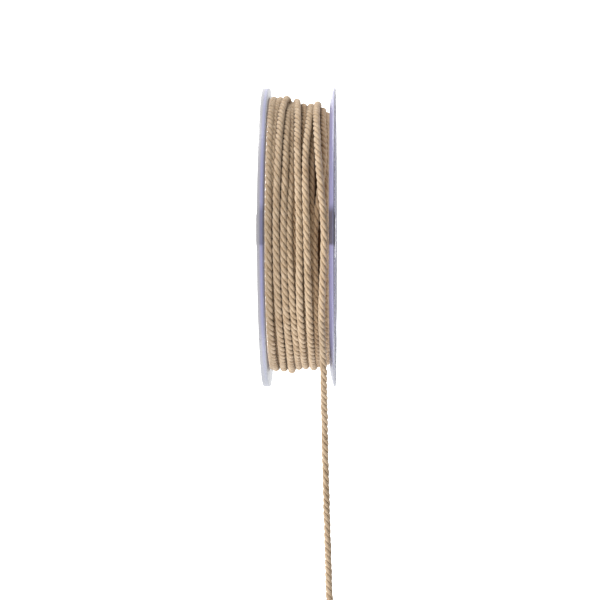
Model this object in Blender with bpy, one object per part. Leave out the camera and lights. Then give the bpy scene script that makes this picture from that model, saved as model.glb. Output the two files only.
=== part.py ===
"""Twisted cord trim wound on a clear two-flange spool, with its loose end lying in front of it.

The spool stands on the rims of its flanges. X runs along the spool's axis, -Y is the side to which the loose
end runs, and Z is up. The origin is under the middle of the spool, on the surface that it stands on.
Every size below is in millimetres, and place() turns it into metres.
"""

from math import ceil, cos, pi, radians, sin, sqrt

import bmesh
import bpy
from mathutils import Vector

MILLIMETRE = 0.001
# The gap between neighbouring pieces
GAP = 0.3

# Spool: two flat rings and the tube between them
FLANGE_RADIUS = 49.0
FLANGE_THICKNESS = 1.5
FLANGE_OUTER_FACE = 11.8
FLANGE_INNER_FACE = FLANGE_OUTER_FACE - FLANGE_THICKNESS
RIM_CHAMFER = 0.3
BORE_RADIUS = 6.5
HUB_RADIUS = 22.0
HUB_WALL = 1.5
# Each rim rests on a small flat, which sets the height of the spool's axis
FLAT_HALF_LENGTH = 7.0
AXIS_HEIGHT = sqrt(FLANGE_RADIUS**2 - FLAT_HALF_LENGTH**2)
ROUND_STEPS = 72

# Cord: three strands laid together, each groove running from upper left to lower right
CORD_RADIUS = 1.1
LAY_LENGTH = 7.3
STRANDS = 3

# Winding: a ring of turns. Angles go round the roll in degrees from its crown, the line that faces up and
# forwards, and are positive on the side that faces down and forwards. The crown lies this far off the top.
CROWN_ANGLE = 38.0
ROLL_RADIUS = 45.0
ROLL_HALF_WIDTH = FLANGE_INNER_FACE - GAP
ROLL_BORE_RADIUS = HUB_RADIUS + GAP
LOWEST_SURFACE = ROLL_RADIUS - 4.2
ROLL_STEPS = 60
STEPS_ACROSS = 40
# Where the last turn leaves the roll, and the width of the step that ends its ridge there
LEAVING_ANGLE = 37.0
STEP_WIDTH = 0.1

# The cord's visible turns in the order in which they were wound: the layer below from the right flange to the
# left one, then the outer layer back to the right. At each station a turn has its place along the axis, and
# how far its crest lies under the roll's radius.
STATIONS = (-90, -60, -30, 0, 30, 60, 90)
TURNS = (
    # name, place at each station, depth at each station
    ("below_1", (8.9, 8.9, 8.9, 8.9, 8.9, 8.9, 8.9), (3.8, 3.4, 3.3, 2.5, 2.4, 2.6, 3.0)),
    ("below_2", (7.6, 7.8, 8.1, 5.7, 6.0, 6.1, 6.4), (2.4, 1.9, 1.6, 1.7, 1.4, 1.5, 2.3)),
    ("below_3", (4.6, 4.5, 4.5, 3.9, 4.0, 4.2, 4.4), (2.6, 2.4, 2.5, 2.5, 2.4, 2.6, 2.8)),
    ("below_4", (1.3, 1.9, 1.6, 2.2, 2.4, 2.7, 3.2), (0.9, 1.5, 2.3, 2.3, 2.2, 2.4, 2.6)),
    ("below_5", (-1.6, -1.1, -0.7, -0.5, -0.1, 0.8, 1.2), (3.4, 2.9, 2.3, 2.0, 2.3, 2.6, 3.0)),
    ("below_6", (-3.6, -3.0, -2.6, -3.0, -2.4, -1.4, -1.2), (3.2, 2.8, 2.4, 2.6, 2.4, 2.6, 2.8)),
    ("below_7", (-5.3, -4.3, -4.5, -5.0, -4.6, -3.7, -3.6), (1.0, 1.5, 2.0, 2.3, 2.3, 2.6, 2.6)),
    ("below_8", (-7.4, -6.4, -6.6, -7.7, -7.3, -6.7, -6.4), (0.8, 1.5, 2.1, 2.3, 2.3, 2.7, 2.8)),
    ("outer_1", (-8.9, -8.9, -8.9, -8.9, -8.9, -8.9, -8.9), (1.4, 1.7, 2.1, 2.3, 2.2, 1.6, 1.3)),
    ("outer_2", (-8.4, -8.8, -8.9, -8.8, -8.3, -7.8, -7.2), (-1.3, -0.5, 0.0, 0.2, 0.3, 0.6, 1.1)),
    ("outer_3", (-6.4, -7.2, -7.4, -6.6, -6.2, -5.6, -5.4), (-1.3, 0.2, 0.5, 1.8, 2.0, 2.2, 2.4)),
    ("outer_4", (-4.0, -5.2, -5.7, -5.9, -5.5, -4.9, -4.8), (-1.5, -0.9, -0.2, 0.0, 0.1, 0.5, 0.9)),
    ("outer_5", (-3.3, -3.3, -3.4, -3.9, -3.4, -2.5, -2.3), (0.9, 0.6, 0.4, 0.4, 0.3, 0.3, 0.3)),
    ("outer_6", (-2.2, -2.1, -1.6, -2.0, -1.3, -0.3, -0.1), (2.6, 2.2, 1.6, 0.9, 0.6, 0.7, 1.5)),
    ("outer_7", (-0.9, -0.1, 0.3, 1.0, 1.1, 1.9, 2.4), (-0.6, -0.5, -0.1, 0.1, 0.1, 0.8, 1.7)),
    ("outer_8", (3.7, 3.6, 2.7, 3.2, 3.8, 4.3, 4.8), (1.1, 0.3, -0.2, -0.3, 0.0, 0.8, 1.3)),
    ("outer_9", (6.0, 5.8, 6.5, 7.9, 7.7, 7.9, 8.0), (0.4, -0.2, -0.6, -0.9, -0.9, -0.5, -0.3)),
)
# Behind the roll each turn runs on into the next one, swaying a little with its neighbours
BACK_STATIONS = (135, 180, 225)
BACK_SWAY = 0.25
SWAY_PER_TURN = 0.6
# The first turn climbs out of the layers below before its first station
START_ANGLES = (-240, -180, -130)
START_DEPTHS = (6.5, 5.4, 4.4)

# Loose end: its route from where the last turn leaves the roll, down to the surface and along it
LOOSE_ROUTE = (
    (7.70, -43.30, 59.7),
    (7.83, -44.5, 55.2),
    (7.98, -46.2, 49.3),
    (8.10, -48.2, 43.1),
    (8.20, -50.6, 36.4),
    (8.28, -53.4, 29.6),
    (8.34, -56.6, 23.1),
    (8.42, -60.4, 16.7),
    (8.55, -64.8, 11.0),
    (8.72, -69.8, 6.4),
    (8.90, -75.2, 3.2),
    (9.08, -81.0, 1.6),
    (9.28, -87.0, 1.2),
    (9.50, -93.0, 1.15),
    (9.69, -99.0, 1.15),
    (9.87, -105.0, 1.15),
    (10.05, -111.0, 1.15),
    (10.22, -117.0, 1.15),
    (10.39, -123.0, 1.15),
)
LOOSE_STEPS_PER_LAY = 8
SECTION_POINTS_PER_STRAND = 4
# A strand's own radius and the depth of the groove between two strands, as shares of the cord's radius
STRAND_SHARE = 0.464
GROOVE_SHARE = 0.6
# The curve is read this finely before its points are spaced evenly
CURVE_READINGS = 24


def remove_everything():
    for item in list(bpy.data.objects):
        bpy.data.objects.remove(item, do_unlink=True)


def plain_material(name, colour, roughness, transmission=0.0):
    material = bpy.data.materials.new(name)
    material.use_nodes = True
    shader = material.node_tree.nodes["Principled BSDF"]
    shader.inputs["Base Color"].default_value = (*colour, 1.0)
    shader.inputs["Roughness"].default_value = roughness
    shader.inputs["Metallic"].default_value = 0.0
    shader.inputs["Transmission Weight"].default_value = transmission
    return material


def place(name, shape, material, sharp_angle):
    """Makes the object of a bmesh whose points are in millimetres."""
    bmesh.ops.recalc_face_normals(shape, faces=shape.faces)
    bmesh.ops.scale(shape, vec=Vector((MILLIMETRE,) * 3), verts=shape.verts)
    mesh = bpy.data.meshes.new(name)
    shape.to_mesh(mesh)
    shape.free()
    mesh.materials.append(material)
    mesh.shade_smooth()
    mesh.set_sharp_from_angle(angle=radians(sharp_angle))
    piece = bpy.data.objects.new(name, mesh)
    bpy.context.scene.collection.objects.link(piece)
    return piece


# Spool


def turned(profile):
    """A closed profile of (place along the axis, radius) points, turned round the spool's axis."""
    shape = bmesh.new()
    centre = Vector((0.0, 0.0, AXIS_HEIGHT))
    points = [shape.verts.new((along, 0.0, AXIS_HEIGHT + radius)) for along, radius in profile]
    edges = [shape.edges.new((points[n - 1], points[n])) for n in range(len(points))]
    bmesh.ops.spin(
        shape,
        geom=points + edges,
        cent=centre,
        axis=(1.0, 0.0, 0.0),
        angle=2.0 * pi,
        steps=ROUND_STEPS,
        use_merge=True,
    )
    return shape


def cut_level(shape):
    """Cuts off what lies under the surface and closes the cut with a flat face."""
    everything = shape.verts[:] + shape.edges[:] + shape.faces[:]
    bmesh.ops.bisect_plane(
        shape, geom=everything, plane_co=(0.0, 0.0, 0.0), plane_no=(0.0, 0.0, 1.0), clear_inner=True
    )
    rim = [edge for edge in shape.edges if edge.is_boundary]
    bmesh.ops.edgeloop_fill(shape, edges=rim)


def make_flange(name, side, material):
    """side is -1 for the left flange and 1 for the right one."""
    inner = side * FLANGE_INNER_FACE
    outer = side * FLANGE_OUTER_FACE
    chamfer = side * RIM_CHAMFER
    profile = (
        (inner, BORE_RADIUS),
        (inner, FLANGE_RADIUS - RIM_CHAMFER),
        (inner + chamfer, FLANGE_RADIUS),
        (outer - chamfer, FLANGE_RADIUS),
        (outer, FLANGE_RADIUS - RIM_CHAMFER),
        (outer, BORE_RADIUS),
    )
    shape = turned(profile)
    cut_level(shape)
    return place(name, shape, material, sharp_angle=30)


def make_hub(material):
    half = FLANGE_INNER_FACE - GAP
    inner = HUB_RADIUS - HUB_WALL
    profile = ((-half, inner), (-half, HUB_RADIUS), (half, HUB_RADIUS), (half, inner))
    return place("hub", turned(profile), material, sharp_angle=30)


# Winding


def cord_knots():
    """The cord's path round the roll as (angle, place along the axis, depth), turn after turn."""
    first_place = TURNS[0][1][0]
    knots = [(angle, first_place, depth) for angle, depth in zip(START_ANGLES, START_DEPTHS)]
    for turn, (_, places, depths) in enumerate(TURNS):
        start = 360 * turn
        knots += [(start + angle, at, depth) for angle, at, depth in zip(STATIONS, places, depths)]
        if turn + 1 == len(TURNS):
            break
        _, next_places, next_depths = TURNS[turn + 1]
        for angle in BACK_STATIONS:
            share = (angle - STATIONS[-1]) / (360 + STATIONS[0] - STATIONS[-1])
            sway = BACK_SWAY * sin(SWAY_PER_TURN * turn + radians(2 * angle))
            at = (1 - share) * places[-1] + share * next_places[0]
            depth = (1 - share) * depths[-1] + share * next_depths[0]
            limit = ROLL_HALF_WIDTH - CORD_RADIUS
            knots.append((start + angle, max(-limit, min(limit, at + sway)), depth))
    return knots


def slope(knots, n, column):
    before = knots[max(n - 1, 0)]
    after = knots[min(n + 1, len(knots) - 1)]
    return (after[column] - before[column]) / (after[0] - before[0])


def read_path(knots, angle):
    """The path's place along the axis and its depth at an angle, on a smooth curve through the knots."""
    n = 0
    while n < len(knots) - 2 and knots[n + 1][0] <= angle:
        n += 1
    span = knots[n + 1][0] - knots[n][0]
    t = (angle - knots[n][0]) / span
    values = []
    for column in (1, 2):
        start = knots[n][column]
        end = knots[n + 1][column]
        leaving = slope(knots, n, column) * span
        arriving = slope(knots, n + 1, column) * span
        values.append(
            start * (2 * t**3 - 3 * t**2 + 1)
            + leaving * (t**3 - 2 * t**2 + t)
            + end * (3 * t**2 - 2 * t**3)
            + arriving * (t**3 - t**2)
        )
    return values


def turns_at(knots, angle):
    """Each turn's place along the axis and crest radius where the path passes an angle of the roll."""
    last = 360 * (len(TURNS) - 1) + LEAVING_ANGLE
    passes = []
    for turn in range(-1, len(TURNS)):
        path_angle = 360 * turn + angle
        if knots[0][0] <= path_angle <= last:
            at, depth = read_path(knots, path_angle)
            passes.append((at, ROLL_RADIUS - depth))
    return passes


def surface_radius(passes, at):
    """The height of the winding's surface over the spool's axis: the highest ridge there."""
    highest = LOWEST_SURFACE
    for middle, crest in passes:
        off = abs(at - middle)
        if off <= CORD_RADIUS:
            highest = max(highest, crest - CORD_RADIUS + sqrt(CORD_RADIUS**2 - off**2))
    return highest


def on_roll(angle, at, radius):
    turned_by = radians(CROWN_ANGLE + angle)
    return Vector((at, -radius * sin(turned_by), AXIS_HEIGHT + radius * cos(turned_by)))


def make_winding(material):
    knots = cord_knots()
    step = 360 / ROLL_STEPS
    angles = [-180 + step * (n + 0.5) for n in range(ROLL_STEPS)]
    angles += [LEAVING_ANGLE - STEP_WIDTH / 2, LEAVING_ANGLE + STEP_WIDTH / 2]
    angles.sort()
    places = [ROLL_HALF_WIDTH * (2 * n / STEPS_ACROSS - 1) for n in range(STEPS_ACROSS + 1)]
    shape = bmesh.new()
    rings = []
    for angle in angles:
        passes = turns_at(knots, angle)
        ring = [shape.verts.new(on_roll(angle, places[0], ROLL_BORE_RADIUS))]
        ring += [shape.verts.new(on_roll(angle, at, surface_radius(passes, at))) for at in places]
        ring.append(shape.verts.new(on_roll(angle, places[-1], ROLL_BORE_RADIUS)))
        rings.append(ring)
    for n, ring in enumerate(rings):
        before = rings[n - 1]
        for k in range(len(ring)):
            shape.faces.new((before[k - 1], before[k], ring[k], ring[k - 1]))
    bmesh.ops.triangulate(shape, faces=shape.faces)
    return place("wound_cord", shape, material, sharp_angle=60)


# Loose end


def curve_point(points, t):
    """A point of the smooth curve through the points, t counting them from 0."""
    n = min(int(t), len(points) - 2)
    share = t - n
    start = points[n]
    end = points[n + 1]
    leaving = (end - points[n - 1]) / 2 if n > 0 else end - start
    arriving = (points[n + 2] - start) / 2 if n + 2 < len(points) else end - start
    return (
        start * (2 * share**3 - 3 * share**2 + 1)
        + leaving * (share**3 - 2 * share**2 + share)
        + end * (3 * share**2 - 2 * share**3)
        + arriving * (share**3 - share**2)
    )


def evenly_spaced(points, spacing):
    """Points of the smooth curve through the given ones, about this far apart along it."""
    readings = CURVE_READINGS * (len(points) - 1)
    fine = [curve_point(points, n / CURVE_READINGS) for n in range(readings + 1)]
    lengths = [0.0]
    for before, after in zip(fine, fine[1:]):
        lengths.append(lengths[-1] + (after - before).length)
    steps = ceil(lengths[-1] / spacing)
    spaced = []
    n = 0
    for step in range(steps + 1):
        wanted = lengths[-1] * step / steps
        while n < len(fine) - 2 and lengths[n + 1] < wanted:
            n += 1
        share = (wanted - lengths[n]) / (lengths[n + 1] - lengths[n])
        spaced.append(fine[n].lerp(fine[n + 1], share))
    return spaced, lengths[-1] / steps


def section_radius(angle):
    """The cord's outline: the round back of the nearest strand, down to the groove between two."""
    off = (angle + pi / STRANDS) % (2 * pi / STRANDS) - pi / STRANDS
    middle = 1 - STRAND_SHARE
    under_root = STRAND_SHARE**2 - (middle * sin(off)) ** 2
    outline = middle * cos(off) + sqrt(under_root) if under_root > 0 else GROOVE_SHARE
    return CORD_RADIUS * max(outline, GROOVE_SHARE)


def make_loose_end(material):
    route = [Vector(point) for point in LOOSE_ROUTE]
    spine, spacing = evenly_spaced(route, LAY_LENGTH / LOOSE_STEPS_PER_LAY)
    sides = STRANDS * SECTION_POINTS_PER_STRAND
    shape = bmesh.new()
    rings = []
    across = Vector((1.0, 0.0, 0.0))
    for n, point in enumerate(spine):
        along = (spine[min(n + 1, len(spine) - 1)] - spine[max(n - 1, 0)]).normalized()
        across = (across - along * across.dot(along)).normalized()
        up = across.cross(along)
        twist = 2 * pi * n * spacing / LAY_LENGTH
        ring = []
        for side in range(sides):
            around = 2 * pi * side / sides
            radius = section_radius(around)
            offset = across * cos(around + twist) + up * sin(around + twist)
            ring.append(shape.verts.new(point + offset * radius))
        rings.append(ring)
    for before, ring in zip(rings, rings[1:]):
        for k in range(sides):
            shape.faces.new((before[k - 1], before[k], ring[k], ring[k - 1]))
    shape.faces.new(rings[0])
    shape.faces.new(rings[-1])
    bmesh.ops.triangulate(shape, faces=shape.faces)
    return place("loose_end", shape, material, sharp_angle=80)


def make_part():
    remove_everything()
    clear_plastic = plain_material("clear_plastic", (0.80, 0.80, 0.90), 0.08, transmission=0.8)
    cord = plain_material("cord", (0.47, 0.36, 0.25), 0.9)
    loose_cord = plain_material("loose_cord", (0.49, 0.38, 0.27), 0.9)
    make_flange("flange_left", -1, clear_plastic)
    make_flange("flange_right", 1, clear_plastic)
    make_hub(clear_plastic)
    make_winding(cord)
    make_loose_end(loose_cord)


make_part()
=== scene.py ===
"""Looks of the twisted cord trim on its clear spool: laid strands, clear plastic, light and camera.

Sizes are in millimetres until metres() turns them into metres, and everything lies in the frame's own axes.
"""

from math import cos, pi, radians, sin, sqrt

import bpy
import numpy as np
from mathutils import Matrix, Vector


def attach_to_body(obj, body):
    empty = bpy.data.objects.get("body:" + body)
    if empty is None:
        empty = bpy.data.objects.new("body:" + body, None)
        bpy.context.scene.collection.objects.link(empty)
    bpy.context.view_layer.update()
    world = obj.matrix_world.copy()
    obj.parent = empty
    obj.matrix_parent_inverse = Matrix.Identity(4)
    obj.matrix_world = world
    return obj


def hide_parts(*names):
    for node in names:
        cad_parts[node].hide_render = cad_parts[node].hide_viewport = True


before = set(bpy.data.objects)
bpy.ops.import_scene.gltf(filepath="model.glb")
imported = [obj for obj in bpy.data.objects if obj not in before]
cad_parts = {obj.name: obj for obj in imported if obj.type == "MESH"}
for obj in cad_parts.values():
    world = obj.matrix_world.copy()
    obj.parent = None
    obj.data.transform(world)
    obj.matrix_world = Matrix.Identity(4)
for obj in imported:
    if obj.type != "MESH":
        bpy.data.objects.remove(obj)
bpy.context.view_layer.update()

MILLIMETRE = 0.001

# Spool, as the frame has it
FLANGE_RADIUS = 49.0
FLANGE_INNER_FACES = {-1: 9.66, 1: 9.97}
FLANGE_OUTER_FACE = 11.85
BORE_RADIUS = 6.5
HUB_RADIUS = 22.0
HUB_WALL = 1.5
HUB_ENDS = (-9.6, 9.9)
FLAT_HALF_LENGTH = 7.0
AXIS_HEIGHT = sqrt(FLANGE_RADIUS**2 - FLAT_HALF_LENGTH**2)
ROUND_STEPS = 240
EDGE_ROUNDING = 0.18
ROUNDING_STEPS = 4

# The right flange thins out towards its edge, from this radius on, down to this thickness
THINNING_RADIUS = 44.5
EDGE_THICKNESS = 0.7

# Catch for the cord's end: a low swelling on the outside of each rim, at these angles round the roll
CATCH_ANGLES = (-7.5, 5.5)
CATCH_HEIGHT = 0.2
CATCH_DEPTH = 3.5

# Cord: three strands laid together
CORD_RADIUS = 1.15
LAY_LENGTH = 7.3
STRANDS = 3
STRAND_SHARE = 0.66
CREASE_DEPTH = 0.10
CREASE_WIDTH = radians(9)

# Unevenness of the yarn, as waves that run along it and round it
YARN_WAVES = (
    # length, times round, height as a share of the cord's radius
    (41.0, 1, 0.030),
    (29.0, 2, 0.020),
    (5.3, 1, 0.012),
    (3.7, 4, 0.012),
    (2.6, 5, 0.012),
    (1.9, 3, 0.012),
)

# Winding. Angles go round the roll in degrees from its crown, the line that faces up and forwards. They
# are positive on the side that faces down and forwards. The crown lies this far off the top.
CROWN_ANGLE = 38.0
ROLL_RADIUS = 45.0
ROLL_SIDES = {-1: 9.66, 1: 9.96}
LEAVING_ANGLE = 37.0

# The visible turns in the order in which they were wound: their places along the axis and the depths of
# their crests under the roll's radius, at each station
STATIONS = (-90, -60, -30, 0, 30, 60, 90)
TURNS = (
    # name, place at each station, depth at each station
    ("below_1", (8.9, 8.9, 8.9, 8.9, 8.9, 8.9, 8.9), (3.8, 3.4, 3.3, 2.5, 2.4, 2.6, 3.0)),
    ("below_2", (7.6, 7.8, 8.1, 5.7, 6.0, 6.1, 6.4), (2.4, 1.9, 1.6, 1.7, 1.4, 1.5, 2.3)),
    ("below_3", (4.6, 4.5, 4.6, 4.6, 4.4, 4.3, 4.4), (2.6, 2.2, 2.0, 1.8, 1.9, 2.2, 2.6)),
    ("below_4", (1.3, 1.9, 1.6, 2.2, 2.4, 2.7, 3.2), (0.9, 1.5, 2.3, 2.3, 2.2, 2.4, 2.6)),
    ("below_5", (-1.6, -1.1, -0.7, -0.5, -0.1, 0.8, 1.2), (3.4, 2.9, 2.3, 2.0, 2.3, 2.6, 3.0)),
    ("below_6", (-3.6, -3.0, -2.6, -3.0, -2.4, -1.4, -1.2), (3.2, 2.8, 2.4, 2.6, 2.4, 2.6, 2.8)),
    ("below_7", (-5.3, -4.3, -4.5, -5.0, -4.6, -3.7, -3.6), (1.0, 1.5, 2.0, 2.3, 2.3, 2.6, 2.6)),
    ("below_8", (-7.4, -6.4, -6.6, -7.7, -7.3, -6.7, -6.4), (0.8, 1.5, 2.1, 2.3, 2.3, 2.7, 2.8)),
    ("outer_1", (-8.9, -8.9, -8.9, -8.9, -8.9, -8.9, -8.9), (1.4, 1.7, 2.1, 2.3, 2.2, 1.6, 1.3)),
    ("outer_2", (-8.4, -8.8, -8.9, -8.9, -8.6, -8.15, -7.75), (-1.3, -0.5, 0.0, 0.2, 0.3, 0.6, 1.1)),
    ("outer_3", (-6.4, -7.2, -7.4, -6.6, -6.2, -5.6, -5.4), (-1.3, 0.2, 0.5, 1.8, 2.0, 2.2, 2.4)),
    ("outer_4", (-4.0, -5.2, -5.8, -6.2, -5.8, -5.2, -5.2), (-1.5, -0.9, -0.2, 0.0, 0.1, 0.5, 0.9)),
    ("outer_5", (-3.3, -3.3, -3.5, -4.0, -3.5, -2.65, -2.6), (0.9, 0.6, 0.4, 0.4, 0.3, 0.3, 0.3)),
    ("outer_6", (-2.2, -2.1, -1.7, -2.2, -1.4, -0.4, -0.3), (0.4, 1.4, 1.6, 0.9, 0.6, 0.7, 1.5)),
    ("outer_7", (-0.9, -0.1, 0.3, 1.0, 0.9, 1.5, 2.0), (-0.6, -0.5, -0.1, 0.1, 0.1, 0.8, 1.7)),
    ("outer_8", (3.7, 3.6, 2.7, 3.2, 3.7, 4.2, 4.6), (1.1, 0.3, -0.2, -0.3, 0.0, 0.8, 1.3)),
    ("outer_9", (6.0, 5.8, 6.8, 8.6, 7.8, 7.9, 8.0), (0.4, -0.2, -0.6, -0.9, -0.9, -0.5, -0.3)),
)
BACK_STATIONS = (135, 180, 225)
BACK_SWAY = 0.25
SWAY_PER_TURN = 0.6
START_ANGLES = (-240, -180, -130)
START_DEPTHS = (6.5, 5.4, 4.4)
FIRST_OUTER_TURN = 8

# Layers under the visible turns: a plain ring, and cords that show at the flanges
ROLL_PLAY = 0.3
INSIDE_ENDS = (-9.3, 9.3)
INSIDE_RADIUS = ROLL_RADIUS - 4.6
LAYERS_AT_FLANGE = 9
LAYER_PITCH = 1.9

# Loose end: its route from where the last turn leaves the roll, down to the surface and along it
LOOSE_ROUTE = (
    (7.70, -43.30, 59.7),
    (7.83, -44.5, 55.2),
    (7.98, -46.2, 49.3),
    (8.10, -48.2, 43.1),
    (8.20, -50.6, 36.4),
    (8.28, -53.4, 29.6),
    (8.34, -56.6, 23.1),
    (8.42, -60.4, 16.7),
    (8.55, -64.8, 11.0),
    (8.72, -69.8, 6.4),
    (8.90, -75.2, 3.2),
    (9.08, -81.0, 1.6),
    (9.28, -87.0, 1.2),
    (9.50, -93.0, 1.15),
    (9.69, -99.0, 1.15),
    (9.87, -105.0, 1.15),
    (10.05, -111.0, 1.15),
    (10.22, -117.0, 1.15),
    (10.39, -123.0, 1.15),
)

# Camera: where the photograph was taken from, seen from the middle of the spool's axis
CAMERA_ELEVATION = 52.0
CAMERA_DISTANCE = 617.0
CAMERA_TO_THE_RIGHT = 17.0
CAMERA_BELOW = 20.5
LENS = 112.5
SENSOR = 36.0

# Painted light and shade across the rim, from the inner face of the flange to the outer one: violet light
# that runs out along the sheet, and darker bands of shade
RIM_PAINTED_BANDS = {
    # side: (share of the way across, colour)
    -1: (
        (0.0, (0.10, 0.10, 0.14)),
        (0.12, (0.10, 0.10, 0.15)),
        (0.22, (0.14, 0.14, 0.24)),
        (0.34, (0.17, 0.17, 0.32)),
        (0.50, (0.18, 0.175, 0.28)),
        (0.66, (0.20, 0.195, 0.23)),
        (0.90, (0.23, 0.225, 0.24)),
        (1.0, (0.22, 0.21, 0.22)),
    ),
    1: (
        (0.0, (0.12, 0.11, 0.15)),
        (0.14, (0.17, 0.17, 0.32)),
        (0.70, (0.18, 0.175, 0.31)),
        (0.82, (0.15, 0.145, 0.22)),
        (0.90, (0.075, 0.07, 0.09)),
        (1.0, (0.07, 0.065, 0.08)),
    ),
}

# The radius, in metres, up to which each flange is clear, and from which on it has its rim's painted light
# and shade
RIM_STARTS = {-1: (0.0408, 0.0440), 1: (0.0425, 0.0450)}

# The radii, in metres, between which the painted light and shade of the bore's edge end, and the outer face
# meets the rim
BORE_PAINTED_EDGE_ENDS = (0.0066, 0.0080)
OUTER_FACE_ENDS = (0.0482, 0.0487)

# How dark painted shade makes each rim about the catch, towards the roll and on its outer side, and where
# along the rim
PAINTED_RIM_SHADES = {-1: (0.55, 0.85), 1: (0.25, 0.40)}
PAINTED_SHADE_ANGLES = (-15, 10)
PAINTED_SHADE_RAMP = (
    (0.0, (0.0, 0.0, 0.0)),
    (0.17, (0.0, 0.0, 0.0)),
    (0.30, (1.0, 1.0, 1.0)),
    (0.76, (1.0, 1.0, 1.0)),
    (0.80, (0.0, 0.0, 0.0)),
)

# Angles round the spool from its top between which painted shade darkens the rim, and how far
PAINTED_SHADE_TOP = (-50, -20, 0.35)
PAINTED_SHADE_BOTTOM = (66, 112, 0.88)
RIM_PAINTED_SHADE = (0.02, 0.03, 0.06, 1.0)

# Plastic
PLASTIC_IOR = 1.5
CLEAR_COLOUR = (0.97, 0.97, 1.0, 1.0)
OUTER_FACE_PAINTED_LIGHT = (0.62, 0.61, 0.78, 1.0)
EDGE_CHANGES = (
    # socket, over the sheet, at its edges
    ("Transmission Weight", 1.0, 0.2),
    ("Roughness", 0.04, 0.4),
    ("Specular IOR Level", 0.5, 0.12),
)

# Cotton: light, middle and dark colour of each stretch, and how its colour varies. The deep and end colours
# are darker copies of the outer ones: painted shade.
CORD_COLOURS = {
    "outer": ((0.50, 0.390, 0.275), (0.42, 0.31, 0.20), (0.30, 0.20, 0.115)),
    "deep": ((0.46, 0.33, 0.21), (0.38, 0.26, 0.155), (0.28, 0.175, 0.095)),
    "end": ((0.42, 0.33, 0.235), (0.35, 0.26, 0.17), (0.25, 0.17, 0.10)),
}
# Painted shade that darkens the creases between the strands, by how far a point lies towards its crest
PAINTED_CREASE_SHADES = ((0.0, (0.42, 0.33, 0.27)), (0.3, (0.82, 0.79, 0.76)), (0.75, (1.0, 1.0, 1.0)))
FIBRE_STRETCH = (0.6, 26.0, 1.0)
FIBRE_SHARE = 0.6
BLOTCH_SCALE = 260.0

# Light
DIM_SIDES = (
    # direction, strength straight that way
    ((0.0, -cos(radians(CAMERA_ELEVATION)), sin(radians(CAMERA_ELEVATION))), 0.85),
    ((0.80, -0.20, 0.50), 0.45),
)
LAMPS = (
    # name, position in metres, size, power
    ("key", (-0.72, -0.45, 0.38), 0.80, 10.0),
    ("back", (-0.45, 0.55, 0.60), 0.50, 6.0),
)
LAMPS_AIM_AT = (0.0, -0.02, 0.04)

# Floor, in metres: a little lower than the part, so that the two don't flicker into each other
FLOOR_HALF = 3.0
FLOOR_HEIGHT = -0.0002


def metres(values):
    return np.asarray(values, dtype=float) * MILLIMETRE


# Paths


def smooth_curve(knots_at, knots, wanted):
    """Reads the smooth curve through the knots, whose rows lie at knots_at, at the wanted places."""
    knots_at = np.asarray(knots_at, dtype=float)
    knots = np.asarray(knots, dtype=float)
    before = np.maximum(np.arange(len(knots)) - 1, 0)
    after = np.minimum(np.arange(len(knots)) + 1, len(knots) - 1)
    slopes = (knots[after] - knots[before]) / (knots_at[after] - knots_at[before])[:, None]
    n = np.clip(np.searchsorted(knots_at, wanted, side="right") - 1, 0, len(knots) - 2)
    span = (knots_at[n + 1] - knots_at[n])[:, None]
    t = (wanted - knots_at[n])[:, None] / span
    return (
        knots[n] * (2 * t**3 - 3 * t**2 + 1)
        + slopes[n] * span * (t**3 - 2 * t**2 + t)
        + knots[n + 1] * (3 * t**2 - 2 * t**3)
        + slopes[n + 1] * span * (t**3 - t**2)
    )


def between_flanges(places):
    return np.clip(places, CORD_RADIUS - ROLL_SIDES[-1], ROLL_SIDES[1] - CORD_RADIUS)


def cord_knots():
    """The cord's path round the roll as rows of angle, place along the axis and depth, turn after turn."""
    first_place = TURNS[0][1][0]
    knots = [(angle, first_place, depth) for angle, depth in zip(START_ANGLES, START_DEPTHS)]
    for turn, (_, places, depths) in enumerate(TURNS):
        start = 360 * turn
        knots += [(start + angle, at, depth) for angle, at, depth in zip(STATIONS, places, depths)]
        if turn + 1 == len(TURNS):
            break
        _, next_places, next_depths = TURNS[turn + 1]
        for angle in BACK_STATIONS:
            share = (angle - STATIONS[-1]) / (360 + STATIONS[0] - STATIONS[-1])
            sway = BACK_SWAY * sin(SWAY_PER_TURN * turn + radians(2 * angle))
            at = (1 - share) * places[-1] + share * next_places[0]
            depth = (1 - share) * depths[-1] + share * next_depths[0]
            knots.append((start + angle, between_flanges(at + sway), depth))
    return np.array(knots)


def on_roll(angles, places, radii):
    turned_by = np.radians(np.asarray(angles) + CROWN_ANGLE)
    return np.column_stack(
        (
            np.broadcast_to(places, turned_by.shape),
            -radii * np.sin(turned_by),
            AXIS_HEIGHT + radii * np.cos(turned_by),
        )
    )


def evenly_spaced(points, spacing):
    """The same line with its points about this far apart."""
    steps = np.linalg.norm(np.diff(points, axis=0), axis=1)
    lengths = np.concatenate(([0.0], np.cumsum(steps)))
    count = int(np.ceil(lengths[-1] / spacing))
    wanted = np.linspace(0.0, lengths[-1], count + 1)
    return np.column_stack([np.interp(wanted, lengths, points[:, axis]) for axis in range(3)])


def wound_path(start, end, spacing):
    """The cord's middle line between two angles of its path."""
    knots = cord_knots()
    angles = np.arange(start, end + 0.5, 1.0)
    angles[-1] = end
    values = smooth_curve(knots[:, 0], knots[:, 1:], angles)
    places = between_flanges(values[:, 0])
    radii = ROLL_RADIUS - values[:, 1] - CORD_RADIUS
    return evenly_spaced(on_roll(angles, places, radii), spacing)


def slow_wave(along, seed, lengths):
    """A smooth uneven value between about -1 and 1 along the cord, the same on every run."""
    total = np.zeros_like(along)
    for n, length in enumerate(lengths):
        total += np.sin(2 * pi * along / length + 2.4 * seed + 1.7 * n)
    return total / len(lengths)


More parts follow.
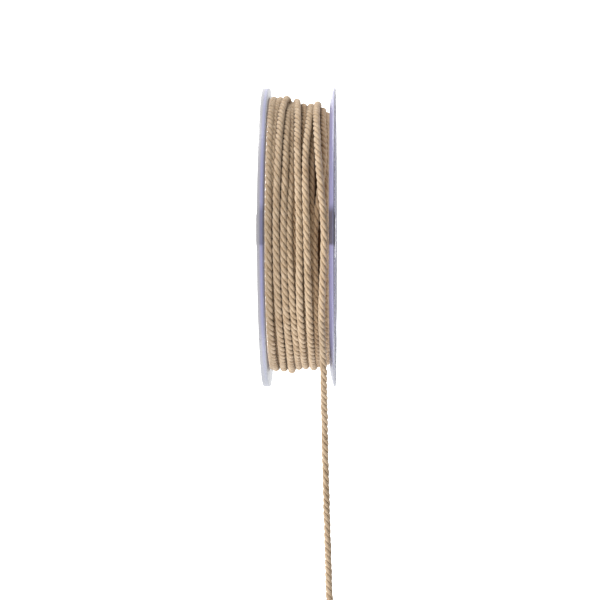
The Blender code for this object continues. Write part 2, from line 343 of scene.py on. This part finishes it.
def yarn_unevenness(along, around, seed):
    """How much fuller or thinner the yarn is at each place along and round the cord."""
    total = np.zeros((len(along), len(around)))
    for n, (length, times_round, height) in enumerate(YARN_WAVES):
        phase = 1.9 * n + 2.7 * seed
        total += height * np.sin((2 * pi * along / length)[:, None] + times_round * around[None, :] + phase)
    return total


# Meshes


def make_mesh(name, points, quads, caps, uvs, crests, material):
    """An object from points in millimetres, an array of quads, and a list of cap rings.

    crests says how far each point lies towards the crest of its strand, from 0 in the crease to 1.
    """
    mesh = bpy.data.meshes.new(name)
    corner_count = quads.size + sum(len(cap) for cap in caps)
    mesh.vertices.add(len(points))
    mesh.vertices.foreach_set("co", metres(points).astype(np.float32).ravel())
    mesh.loops.add(corner_count)
    corners = np.concatenate([quads.ravel()] + [np.asarray(cap) for cap in caps])
    mesh.loops.foreach_set("vertex_index", corners.astype(np.int32))
    sizes = np.array([4] * len(quads) + [len(cap) for cap in caps], dtype=np.int32)
    mesh.polygons.add(len(sizes))
    starts = np.concatenate(([0], np.cumsum(sizes)[:-1])).astype(np.int32)
    mesh.polygons.foreach_set("loop_start", starts)
    if uvs is not None:
        layer = mesh.uv_layers.new(name="around")
        blank = np.zeros((corner_count - len(uvs), 2))
        layer.data.foreach_set("uv", np.vstack((uvs, blank)).astype(np.float32).ravel())
    if crests is not None:
        mesh.attributes.new("crest", "FLOAT", "POINT").data.foreach_set("value", crests.astype(np.float32))
    mesh.update(calc_edges=True)
    mesh.validate()
    mesh.materials.append(material)
    mesh.shade_smooth()
    piece = bpy.data.objects.new(name, mesh)
    bpy.context.scene.collection.objects.link(piece)
    return piece


def strand_outline(angles):
    """The laid cord's outline as a share of its radius: three plump strands with a crease between them."""
    off = (angles + pi / STRANDS) % (2 * pi / STRANDS) - pi / STRANDS
    middle = 1 - STRAND_SHARE
    round_back = middle * np.cos(off) + np.sqrt(STRAND_SHARE**2 - (middle * np.sin(off)) ** 2)
    from_groove = pi / STRANDS - np.abs(off)
    return round_back - CREASE_DEPTH * np.exp(-((from_groove / CREASE_WIDTH) ** 2))


def laid_cord(name, spine, sides, material, seed, closed=False, first_twist=0.0):
    """A laid cord along a line of points, and the twist that it ends with.

    Its outline turns once in each lay length.
    """
    count = len(spine)
    if closed:
        following = np.roll(spine, -1, axis=0)
        leading = np.roll(spine, 1, axis=0)
    else:
        following = np.vstack((spine[1:], spine[-1:]))
        leading = np.vstack((spine[:1], spine[:-1]))
    along = following - leading
    along /= np.linalg.norm(along, axis=1)[:, None]
    across = np.array([1.0, 0.0, 0.0]) - along * along[:, :1]
    across /= np.linalg.norm(across, axis=1)[:, None]
    up = np.cross(across, along)

    # The seam of the outline lies in a groove
    around = 2 * pi * np.arange(sides) / sides + pi / STRANDS
    step = np.linalg.norm(np.diff(spine, axis=0), axis=1)
    length = np.concatenate(([0.0], np.cumsum(step)))
    if closed:
        total = length[-1] + np.linalg.norm(spine[0] - spine[-1])
        twist = 2 * pi * round(total / LAY_LENGTH) * length / total
        fullness = np.ones(count)
        yarn = np.zeros((count, sides))
    else:
        unevenness = slow_wave(length, seed, (31.0, 47.0, 19.0))
        twist = first_twist + 2 * pi * length / LAY_LENGTH + 0.55 * (unevenness - unevenness[0])
        from_ends = np.minimum(length, length[-1] - length)
        fading = np.clip(from_ends / LAY_LENGTH, 0.0, 1.0)
        fullness = 1 + 0.035 * fading * slow_wave(length, seed + 3, (11.0, 17.0, 26.0))
        yarn = fading[:, None] * yarn_unevenness(length, around, seed)

    outline = strand_outline(around)
    turned = around[None, :] + twist[:, None]
    radii = CORD_RADIUS * outline[None, :] * (fullness[:, None] + yarn)
    points = (
        spine[:, None, :]
        + across[:, None, :] * (radii * np.cos(turned))[:, :, None]
        + up[:, None, :] * (radii * np.sin(turned))[:, :, None]
    ).reshape(-1, 3)

    rings = np.arange(count if closed else count - 1)
    side = np.arange(sides)
    ring_grid, side_grid = np.meshgrid(rings, side, indexing="ij")
    next_ring = (ring_grid + 1) % count
    next_side = (side_grid + 1) % sides
    quads = np.stack(
        (
            ring_grid * sides + side_grid,
            ring_grid * sides + next_side,
            next_ring * sides + next_side,
            next_ring * sides + side_grid,
        ),
        axis=-1,
    ).reshape(-1, 4)

    longer = np.append(length, length[-1] + (step[-1] if len(step) else 0.0))
    longer_twist = np.append(twist, twist[-1] + 2 * pi * step[-1] / LAY_LENGTH)
    here = around[side_grid]
    there = here + 2 * pi / sides
    near, far = ring_grid, ring_grid + 1
    uvs = np.stack(
        (
            np.stack((longer[near], (here + longer_twist[near]) / (2 * pi)), axis=-1),
            np.stack((longer[near], (there + longer_twist[near]) / (2 * pi)), axis=-1),
            np.stack((longer[far], (there + longer_twist[far]) / (2 * pi)), axis=-1),
            np.stack((longer[far], (here + longer_twist[far]) / (2 * pi)), axis=-1),
        ),
        axis=-2,
    ).reshape(-1, 2)
    caps = []
    if not closed:
        caps = [list(range(sides))[::-1], [(count - 1) * sides + k for k in range(sides)]]
    lowest = outline.min()
    crests = np.tile((outline - lowest) / (outline.max() - lowest), count)
    return make_mesh(name, points, quads, caps, uvs, crests, material), twist[-1]


def turned_ring(name, profile, steps, material, swelling=None):
    """A closed profile of (place along the axis, radius) points turned round the spool's axis."""
    angles = 360 * np.arange(steps) / steps
    # The rim draws in where its flat stands on the surface
    downwards = np.maximum(-np.cos(np.radians(angles + CROWN_ANGLE)), 0.1)
    drawn_in = np.maximum(FLANGE_RADIUS - AXIS_HEIGHT / downwards, 0.0)
    rows = []
    for at, radius in profile:
        moved = swelling(angles, at, radius) if swelling else 0.0
        radii = radius - drawn_in * (radius > FLANGE_RADIUS - CATCH_DEPTH)
        rows.append(on_roll(angles, at + moved, radii))
    points = np.concatenate(rows)
    count = len(profile)
    row, column = np.meshgrid(np.arange(count), np.arange(steps), indexing="ij")
    next_row = (row + 1) % count
    next_column = (column + 1) % steps
    quads = np.stack(
        (
            row * steps + column,
            next_row * steps + column,
            next_row * steps + next_column,
            row * steps + next_column,
        ),
        axis=-1,
    ).reshape(-1, 4)
    piece = make_mesh(name, points, quads, [], None, None, material)
    piece.data.set_sharp_from_angle(angle=radians(50))
    return piece


def catch_swelling(angles, at, radius):
    """How far the catch moves a point of a flange outwards along the axis."""
    if abs(at) < FLANGE_OUTER_FACE - EDGE_ROUNDING - 0.01 or radius < FLANGE_RADIUS - CATCH_DEPTH:
        return np.zeros(len(angles))
    off = (angles + 180) % 360 - 180
    start, end = CATCH_ANGLES
    inside = np.clip(np.minimum(off - start, end - off) / 1.5, 0.0, 1.0)
    return np.sign(at) * CATCH_HEIGHT * inside


def rounded_box_profile(low_at, high_at, low_radius, high_radius, rounding):
    """The section of a ring with rounded corners, as (place along the axis, radius) points."""
    corners = (
        (low_at + rounding, low_radius + rounding, 180),
        (low_at + rounding, high_radius - rounding, 90),
        (high_at - rounding, high_radius - rounding, 0),
        (high_at - rounding, low_radius + rounding, -90),
    )
    profile = []
    for at, radius, start in corners:
        for n in range(ROUNDING_STEPS + 1):
            angle = radians(start + 90 - 90 * n / ROUNDING_STEPS)
            profile.append((at + rounding * cos(angle), radius + rounding * sin(angle)))
    return profile


# Materials


def new_material(name):
    material = bpy.data.materials.new(name)
    material.use_nodes = True
    tree = material.node_tree
    return material, tree, tree.nodes["Principled BSDF"]


def add_node(tree, kind, **settings):
    node = tree.nodes.new(kind)
    for key, value in settings.items():
        setattr(node, key, value)
    return node


def attach(tree, socket, value):
    """Sets a socket to a value, or links it where the value is another node's output."""
    if isinstance(value, bpy.types.NodeSocket):
        tree.links.new(value, socket)
    else:
        socket.default_value = value


def maths(tree, operation, *values):
    node = add_node(tree, "ShaderNodeMath", operation=operation)
    for socket, value in zip(node.inputs, values):
        attach(tree, socket, value)
    return node.outputs["Value"]


def map_range(tree, value, from_min, from_max, to_min=0.0, to_max=1.0):
    node = add_node(tree, "ShaderNodeMapRange")
    attach(tree, node.inputs["Value"], value)
    node.inputs["From Min"].default_value = from_min
    node.inputs["From Max"].default_value = from_max
    node.inputs["To Min"].default_value = to_min
    node.inputs["To Max"].default_value = to_max
    return node.outputs["Result"]


def mix(tree, factor, first, second, blend_type="MIX"):
    node = add_node(tree, "ShaderNodeMix", data_type="RGBA", blend_type=blend_type)
    attach(tree, node.inputs["Factor"], factor)
    attach(tree, node.inputs["A"], first)
    attach(tree, node.inputs["B"], second)
    return node.outputs["Result"]


def noise(tree, vector, scale, detail, roughness=0.5):
    node = add_node(tree, "ShaderNodeTexNoise")
    attach(tree, node.inputs["Vector"], vector)
    node.inputs["Scale"].default_value = scale
    node.inputs["Detail"].default_value = detail
    node.inputs["Roughness"].default_value = roughness
    return node.outputs["Fac"]


def colour_ramp(tree, value, stops):
    ramp = add_node(tree, "ShaderNodeValToRGB")
    elements = ramp.color_ramp.elements
    elements[0].position = stops[0][0]
    elements[0].color = (*stops[0][1], 1.0)
    elements[1].position = stops[-1][0]
    elements[1].color = (*stops[-1][1], 1.0)
    for position, colour in stops[1:-1]:
        elements.new(position).color = (*colour, 1.0)
    attach(tree, ramp.inputs["Fac"], value)
    return ramp.outputs["Color"]


def cotton(name, light, middle, dark):
    """Soft spun cotton: fibres that run along the cord, uneven colour, and painted shade in the creases."""
    material, tree, shader = new_material(name)
    uv = add_node(tree, "ShaderNodeUVMap", uv_map="around")
    stretch = add_node(tree, "ShaderNodeMapping")
    stretch.inputs["Scale"].default_value = FIBRE_STRETCH
    attach(tree, stretch.inputs["Vector"], uv.outputs["UV"])
    fibres = noise(tree, stretch.outputs["Vector"], 1.0, 4.0, 0.6)
    place = add_node(tree, "ShaderNodeTexCoord")
    blotches = noise(tree, place.outputs["Object"], BLOTCH_SCALE, 3.0)
    blotch_part = maths(tree, "MULTIPLY", blotches, 1 - FIBRE_SHARE)
    uneven = maths(tree, "MULTIPLY_ADD", fibres, FIBRE_SHARE, blotch_part)
    yarn = colour_ramp(tree, uneven, ((0.34, dark), (0.5, middle), (0.66, light)))
    # Painted shade: the creases come out darker than the crests
    crest = add_node(tree, "ShaderNodeAttribute", attribute_name="crest")
    shade = colour_ramp(tree, crest.outputs["Fac"], PAINTED_CREASE_SHADES)
    attach(tree, shader.inputs["Base Color"], mix(tree, 1.0, yarn, shade, "MULTIPLY"))

    bump = add_node(tree, "ShaderNodeBump")
    bump.inputs["Strength"].default_value = 0.6
    bump.inputs["Distance"].default_value = 0.0002
    attach(tree, bump.inputs["Height"], fibres)
    attach(tree, shader.inputs["Normal"], bump.outputs["Normal"])
    shader.inputs["Roughness"].default_value = 0.92
    shader.inputs["Specular IOR Level"].default_value = 0.15
    shader.inputs["Sheen Weight"].default_value = 0.25
    shader.inputs["Sheen Roughness"].default_value = 0.5
    return material


def spool_coordinates(tree):
    """A point's place along the spool's axis, its distance from it, and its angle round it from the top."""
    place = add_node(tree, "ShaderNodeTexCoord")
    parts = add_node(tree, "ShaderNodeSeparateXYZ")
    attach(tree, parts.inputs["Vector"], place.outputs["Object"])
    height = maths(tree, "SUBTRACT", parts.outputs["Z"], AXIS_HEIGHT * MILLIMETRE)
    spoke = add_node(tree, "ShaderNodeCombineXYZ")
    attach(tree, spoke.inputs["Y"], parts.outputs["Y"])
    attach(tree, spoke.inputs["Z"], height)
    radius = add_node(tree, "ShaderNodeVectorMath", operation="LENGTH")
    attach(tree, radius.inputs[0], spoke.outputs["Vector"])
    forwards = maths(tree, "MULTIPLY", parts.outputs["Y"], -1.0)
    turned_by = maths(tree, "ARCTAN2", forwards, height)
    return parts.outputs["X"], radius.outputs["Value"], turned_by


def rim_colour(tree, side, across, turned_by):
    """The rim's painted light and shade in bands across its thickness, darker about the catch and towards
    the top and bottom.
    """
    bands = colour_ramp(tree, across, RIM_PAINTED_BANDS[side])
    # Painted shade over the rim about the catch
    start, end = PAINTED_SHADE_ANGLES
    along_rim = map_range(tree, turned_by, radians(CROWN_ANGLE + start), radians(CROWN_ANGLE + end))
    painted_shade_window = colour_ramp(tree, along_rim, PAINTED_SHADE_RAMP)
    towards_roll, outwards = ((shade,) * 3 for shade in PAINTED_RIM_SHADES[side])
    shades = colour_ramp(tree, across, ((0.0, towards_roll), (0.55, towards_roll), (0.72, outwards)))
    with_painted_shade = mix(tree, painted_shade_window, bands, shades, "MULTIPLY")

    # Painted shade towards the top and the bottom of the rim
    full, none, most = PAINTED_SHADE_TOP
    towards_top = map_range(tree, turned_by, radians(full), radians(none), most, 0.0)
    none, full, most = PAINTED_SHADE_BOTTOM
    towards_bottom = map_range(tree, turned_by, radians(none), radians(full), 0.0, most)
    return mix(tree, maths(tree, "MAXIMUM", towards_top, towards_bottom), with_painted_shade, RIM_PAINTED_SHADE)


def rim_plastic(name, side):
    """Clear plastic with painted light and shade on its rim: violet, as light runs out there along the whole
    sheet.
    """
    material, tree, shader = new_material(name)
    along_axis, radius, turned_by = spool_coordinates(tree)
    inner_face = side * FLANGE_INNER_FACES[side] * MILLIMETRE
    outer_face = side * FLANGE_OUTER_FACE * MILLIMETRE
    across = map_range(tree, along_axis, inner_face, outer_face)
    near_rim = map_range(tree, radius, *RIM_STARTS[side])
    near_bore = map_range(tree, radius, *BORE_PAINTED_EDGE_ENDS, 0.8, 0.0)
    edge = maths(tree, "MAXIMUM", near_rim, near_bore)

    # Off the rim itself, the outer face is as clear as the rest of the sheet, with a faint painted violet
    # light
    outermost = map_range(tree, across, 0.88, 0.96)
    off_rim = map_range(tree, radius, *OUTER_FACE_ENDS, 1.0, 0.0)
    on_outer_face = maths(tree, "MULTIPLY", outermost, off_rim)
    edge_colour = mix(tree, on_outer_face, rim_colour(tree, side, across, turned_by), OUTER_FACE_PAINTED_LIGHT)
    attach(tree, shader.inputs["Base Color"], mix(tree, edge, CLEAR_COLOUR, edge_colour))
    for socket, inside, at_edge in EDGE_CHANGES:
        attach(tree, shader.inputs[socket], map_range(tree, edge, 0.0, 1.0, inside, at_edge))
    over_sheet = map_range(tree, edge, 0.0, 1.0, 0.3, 1.0)
    over_outer_face = map_range(tree, on_outer_face, 0.0, 1.0, 1.0, 0.25)
    attach(tree, shader.inputs["Alpha"], maths(tree, "MULTIPLY", over_sheet, over_outer_face))
    shader.inputs["IOR"].default_value = PLASTIC_IOR
    return material


def clear_plastic(name):
    """Clear plastic, faintly violet where the light runs along the sheet."""
    material, tree, shader = new_material(name)
    shader.inputs["Base Color"].default_value = CLEAR_COLOUR
    shader.inputs["Transmission Weight"].default_value = 1.0
    shader.inputs["IOR"].default_value = PLASTIC_IOR
    shader.inputs["Alpha"].default_value = 0.4
    place = add_node(tree, "ShaderNodeTexCoord")
    haze = noise(tree, place.outputs["Object"], 90.0, 3.0)
    attach(tree, shader.inputs["Roughness"], map_range(tree, haze, 0.0, 1.0, 0.03, 0.09))
    absorption = add_node(tree, "ShaderNodeVolumeAbsorption")
    absorption.inputs["Color"].default_value = (0.68, 0.66, 0.86, 1.0)
    absorption.inputs["Density"].default_value = 40.0
    attach(tree, tree.nodes["Material Output"].inputs["Volume"], absorption.outputs["Volume"])
    return material


def plain_floor():
    """A lit white table, so that no shadow shows on it."""
    material, _, shader = new_material("pale_floor")
    shader.inputs["Base Color"].default_value = (0.0, 0.0, 0.0, 1.0)
    shader.inputs["Specular IOR Level"].default_value = 0.0
    shader.inputs["Emission Color"].default_value = (1.0, 1.0, 1.0, 1.0)
    shader.inputs["Emission Strength"].default_value = 2.2
    return material


# Camera


def make_camera():
    elevation = radians(CAMERA_ELEVATION)
    towards = Vector((0.0, -cos(elevation), sin(elevation)))
    picture_up = Vector((0.0, sin(elevation), cos(elevation)))
    target = Vector((0.0, 0.0, AXIS_HEIGHT)) - CAMERA_BELOW * picture_up
    position = target + CAMERA_DISTANCE * towards + Vector((CAMERA_TO_THE_RIGHT, 0.0, 0.0))
    forward = (target - position).normalized()
    right = forward.cross(picture_up).normalized()
    up = right.cross(forward)
    data = bpy.data.cameras.new("camera")
    data.lens = LENS
    data.sensor_width = SENSOR
    data.clip_start = 0.01
    camera = bpy.data.objects.new("camera", data)
    turn = Matrix((right, up, -forward)).transposed()
    camera.matrix_world = Matrix.Translation(position * MILLIMETRE) @ turn.to_4x4()
    bpy.context.scene.collection.objects.link(camera)
    bpy.context.scene.camera = camera


# Pieces


def dress(piece, slot, *nodes):
    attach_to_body(piece, "root")
    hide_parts(*nodes)


def make_loose_end(material, leaving_point, first_twist):
    route = np.vstack((leaving_point, LOOSE_ROUTE))
    reading = np.linspace(0, len(route) - 1, 600)
    fine = smooth_curve(np.arange(len(route)), route, reading)
    spine = evenly_spaced(fine, LAY_LENGTH / 24)
    piece, _ = laid_cord("loose_cord", spine, 36, material, 5, first_twist=first_twist)
    dress(piece, "cord", "loose_end")


def make_winding(material, shaded_deep_material):
    """The visible turns and those below them, and where and with what twist the last one leaves the roll."""
    last = 360 * (len(TURNS) - 1) + LEAVING_ANGLE
    outer_start = 360 * FIRST_OUTER_TURN - 180
    middle = 360 * (FIRST_OUTER_TURN + 4) + 180
    stretches = (
        # name, start, end, sides, steps per lay, material
        ("turns_below", START_ANGLES[0], outer_start, 18, 10, shaded_deep_material),
        ("turns_outer_left", outer_start, middle, 30, 14, material),
        ("turns_outer_right", middle, last, 30, 14, material),
    )
    twist = 0.0
    for seed, (name, start, end, sides, steps, cloth) in enumerate(stretches):
        spine = wound_path(start, end, LAY_LENGTH / steps)
        piece, twist = laid_cord(name, spine, sides, cloth, seed, first_twist=twist)
        dress(piece, "cord", "wound_cord")
    return spine[-1], twist


def make_roll_sides(material):
    """The stacked turns that lie against each flange, seen through the clear plastic."""
    for side, name in ((-1, "turns_at_left_flange"), (1, "turns_at_right_flange")):
        rings = []
        for layer in range(LAYERS_AT_FLANGE):
            radius = HUB_RADIUS + ROLL_PLAY + CORD_RADIUS + LAYER_PITCH * layer
            steps = int(2 * pi * radius / (LAY_LENGTH / 8))
            angles = 360 * np.arange(steps) / steps
            wave = np.sin(np.radians(angles) * (2 + layer % 3) + layer)
            places = side * (ROLL_SIDES[side] - CORD_RADIUS - 0.1 + 0.08 * wave)
            spine = on_roll(angles, places, radius + 0.12 * np.cos(np.radians(3 * angles) + 2 * layer))
            rings.append(laid_cord(f"{name}_{layer}", spine, 12, material, layer, closed=True)[0])
        joined = join(rings, name)
        dress(joined, "cord", "wound_cord")


def join(pieces, name):
    for item in bpy.context.selected_objects:
        item.select_set(False)
    for piece in pieces:
        piece.select_set(True)
    bpy.context.view_layer.objects.active = pieces[0]
    bpy.ops.object.join()
    pieces[0].name = name
    return pieces[0]


def make_roll_inside(material):
    """The layers under the visible turns, as one plain ring."""
    profile = rounded_box_profile(*INSIDE_ENDS, HUB_RADIUS + ROLL_PLAY, INSIDE_RADIUS, 0.8)
    dress(turned_ring("roll_inside", profile, 120, material), "cord", "wound_cord")


def thinned(profile):
    """The right flange's section, with its inner face drawn outwards near the edge."""
    inner_face = FLANGE_INNER_FACES[1]
    share = (FLANGE_OUTER_FACE - EDGE_THICKNESS - inner_face) / (FLANGE_RADIUS - THINNING_RADIUS)
    moved = []
    for at, radius in profile:
        if at < 0.5 * (inner_face + FLANGE_OUTER_FACE):
            at += share * max(0.0, radius - THINNING_RADIUS)
        moved.append((at, radius))
    inner_start = moved.index(min(moved, key=lambda point: (point[0], -point[1])))
    moved.insert(inner_start + 1, (inner_face, THINNING_RADIUS))
    return moved


def make_spool(material):
    for side, name, node in (
        (-1, "flange_left_clear", "flange_left"),
        (1, "flange_right_clear", "flange_right"),
    ):
        low, high = sorted((side * FLANGE_INNER_FACES[side], side * FLANGE_OUTER_FACE))
        profile = rounded_box_profile(low, high, BORE_RADIUS, FLANGE_RADIUS, EDGE_ROUNDING)
        if side == 1:
            profile = thinned(profile)
        plastic = rim_plastic(f"{name}_plastic", side)
        flange = turned_ring(name, profile, ROUND_STEPS, plastic, catch_swelling)
        flange.visible_shadow = False
        dress(flange, "clear_plastic", node)
    inner = HUB_RADIUS - HUB_WALL
    profile = rounded_box_profile(*HUB_ENDS, inner, HUB_RADIUS, 0.2)
    hub = turned_ring("hub_clear", profile, ROUND_STEPS, material)
    hub.visible_shadow = False
    dress(hub, "clear_plastic", "hub")


# Floor and light


def make_floor():
    mesh = bpy.data.meshes.new("floor")
    corners = [(x * FLOOR_HALF, y * FLOOR_HALF, 0) for x, y in ((-1, -1), (1, -1), (1, 1), (-1, 1))]
    mesh.from_pydata(corners, [], [(0, 1, 2, 3)])
    mesh.materials.append(plain_floor())
    floor = bpy.data.objects.new("floor", mesh)
    bpy.context.scene.collection.objects.link(floor)
    floor.location.z = FLOOR_HEIGHT


def make_world():
    """A white studio that is darker where the photographer stands, and up on the right."""
    world = bpy.data.worlds.new("studio")
    world.use_nodes = True
    tree = world.node_tree
    background = tree.nodes["Background"]
    background.inputs["Color"].default_value = (1.0, 1.0, 1.0, 1.0)
    direction = add_node(tree, "ShaderNodeTexCoord")
    strengths = []
    for towards, dimmest in DIM_SIDES:
        facing = add_node(tree, "ShaderNodeVectorMath", operation="DOT_PRODUCT")
        facing.inputs[1].default_value = Vector(towards).normalized()
        attach(tree, facing.inputs[0], direction.outputs["Generated"])
        strengths.append(map_range(tree, facing.outputs["Value"], 0.4, 0.95, 1.0, dimmest))
    attach(tree, background.inputs["Strength"], maths(tree, "MULTIPLY", *strengths))
    bpy.context.scene.world = world


def make_lamps():
    for name, position, size, power in LAMPS:
        data = bpy.data.lights.new(name, "AREA")
        data.size = size
        data.energy = power
        lamp = bpy.data.objects.new(name, data)
        lamp.location = position
        aim = Vector(LAMPS_AIM_AT) - Vector(position)
        lamp.rotation_euler = aim.to_track_quat("-Z", "Y").to_euler()
        bpy.context.scene.collection.objects.link(lamp)


make_camera()
bpy.context.scene.view_settings.view_transform = "Standard"
cord_material = cotton("cord_cotton", *CORD_COLOURS["outer"])
# Darker copies of the same cotton: painted shade on the turns below, the layers at the flanges and inside,
# and the loose end
shaded_deep_material = cotton("cord_cotton_deep_painted_shade", *CORD_COLOURS["deep"])
shaded_end_material = cotton("cord_cotton_end_painted_shade", *CORD_COLOURS["end"])
leaving_point, leaving_twist = make_winding(cord_material, shaded_deep_material)
make_loose_end(shaded_end_material, leaving_point, leaving_twist)
make_roll_sides(shaded_deep_material)
make_roll_inside(shaded_deep_material)
make_spool(clear_plastic("clear_plastic"))
make_floor()
make_world()
make_lamps()
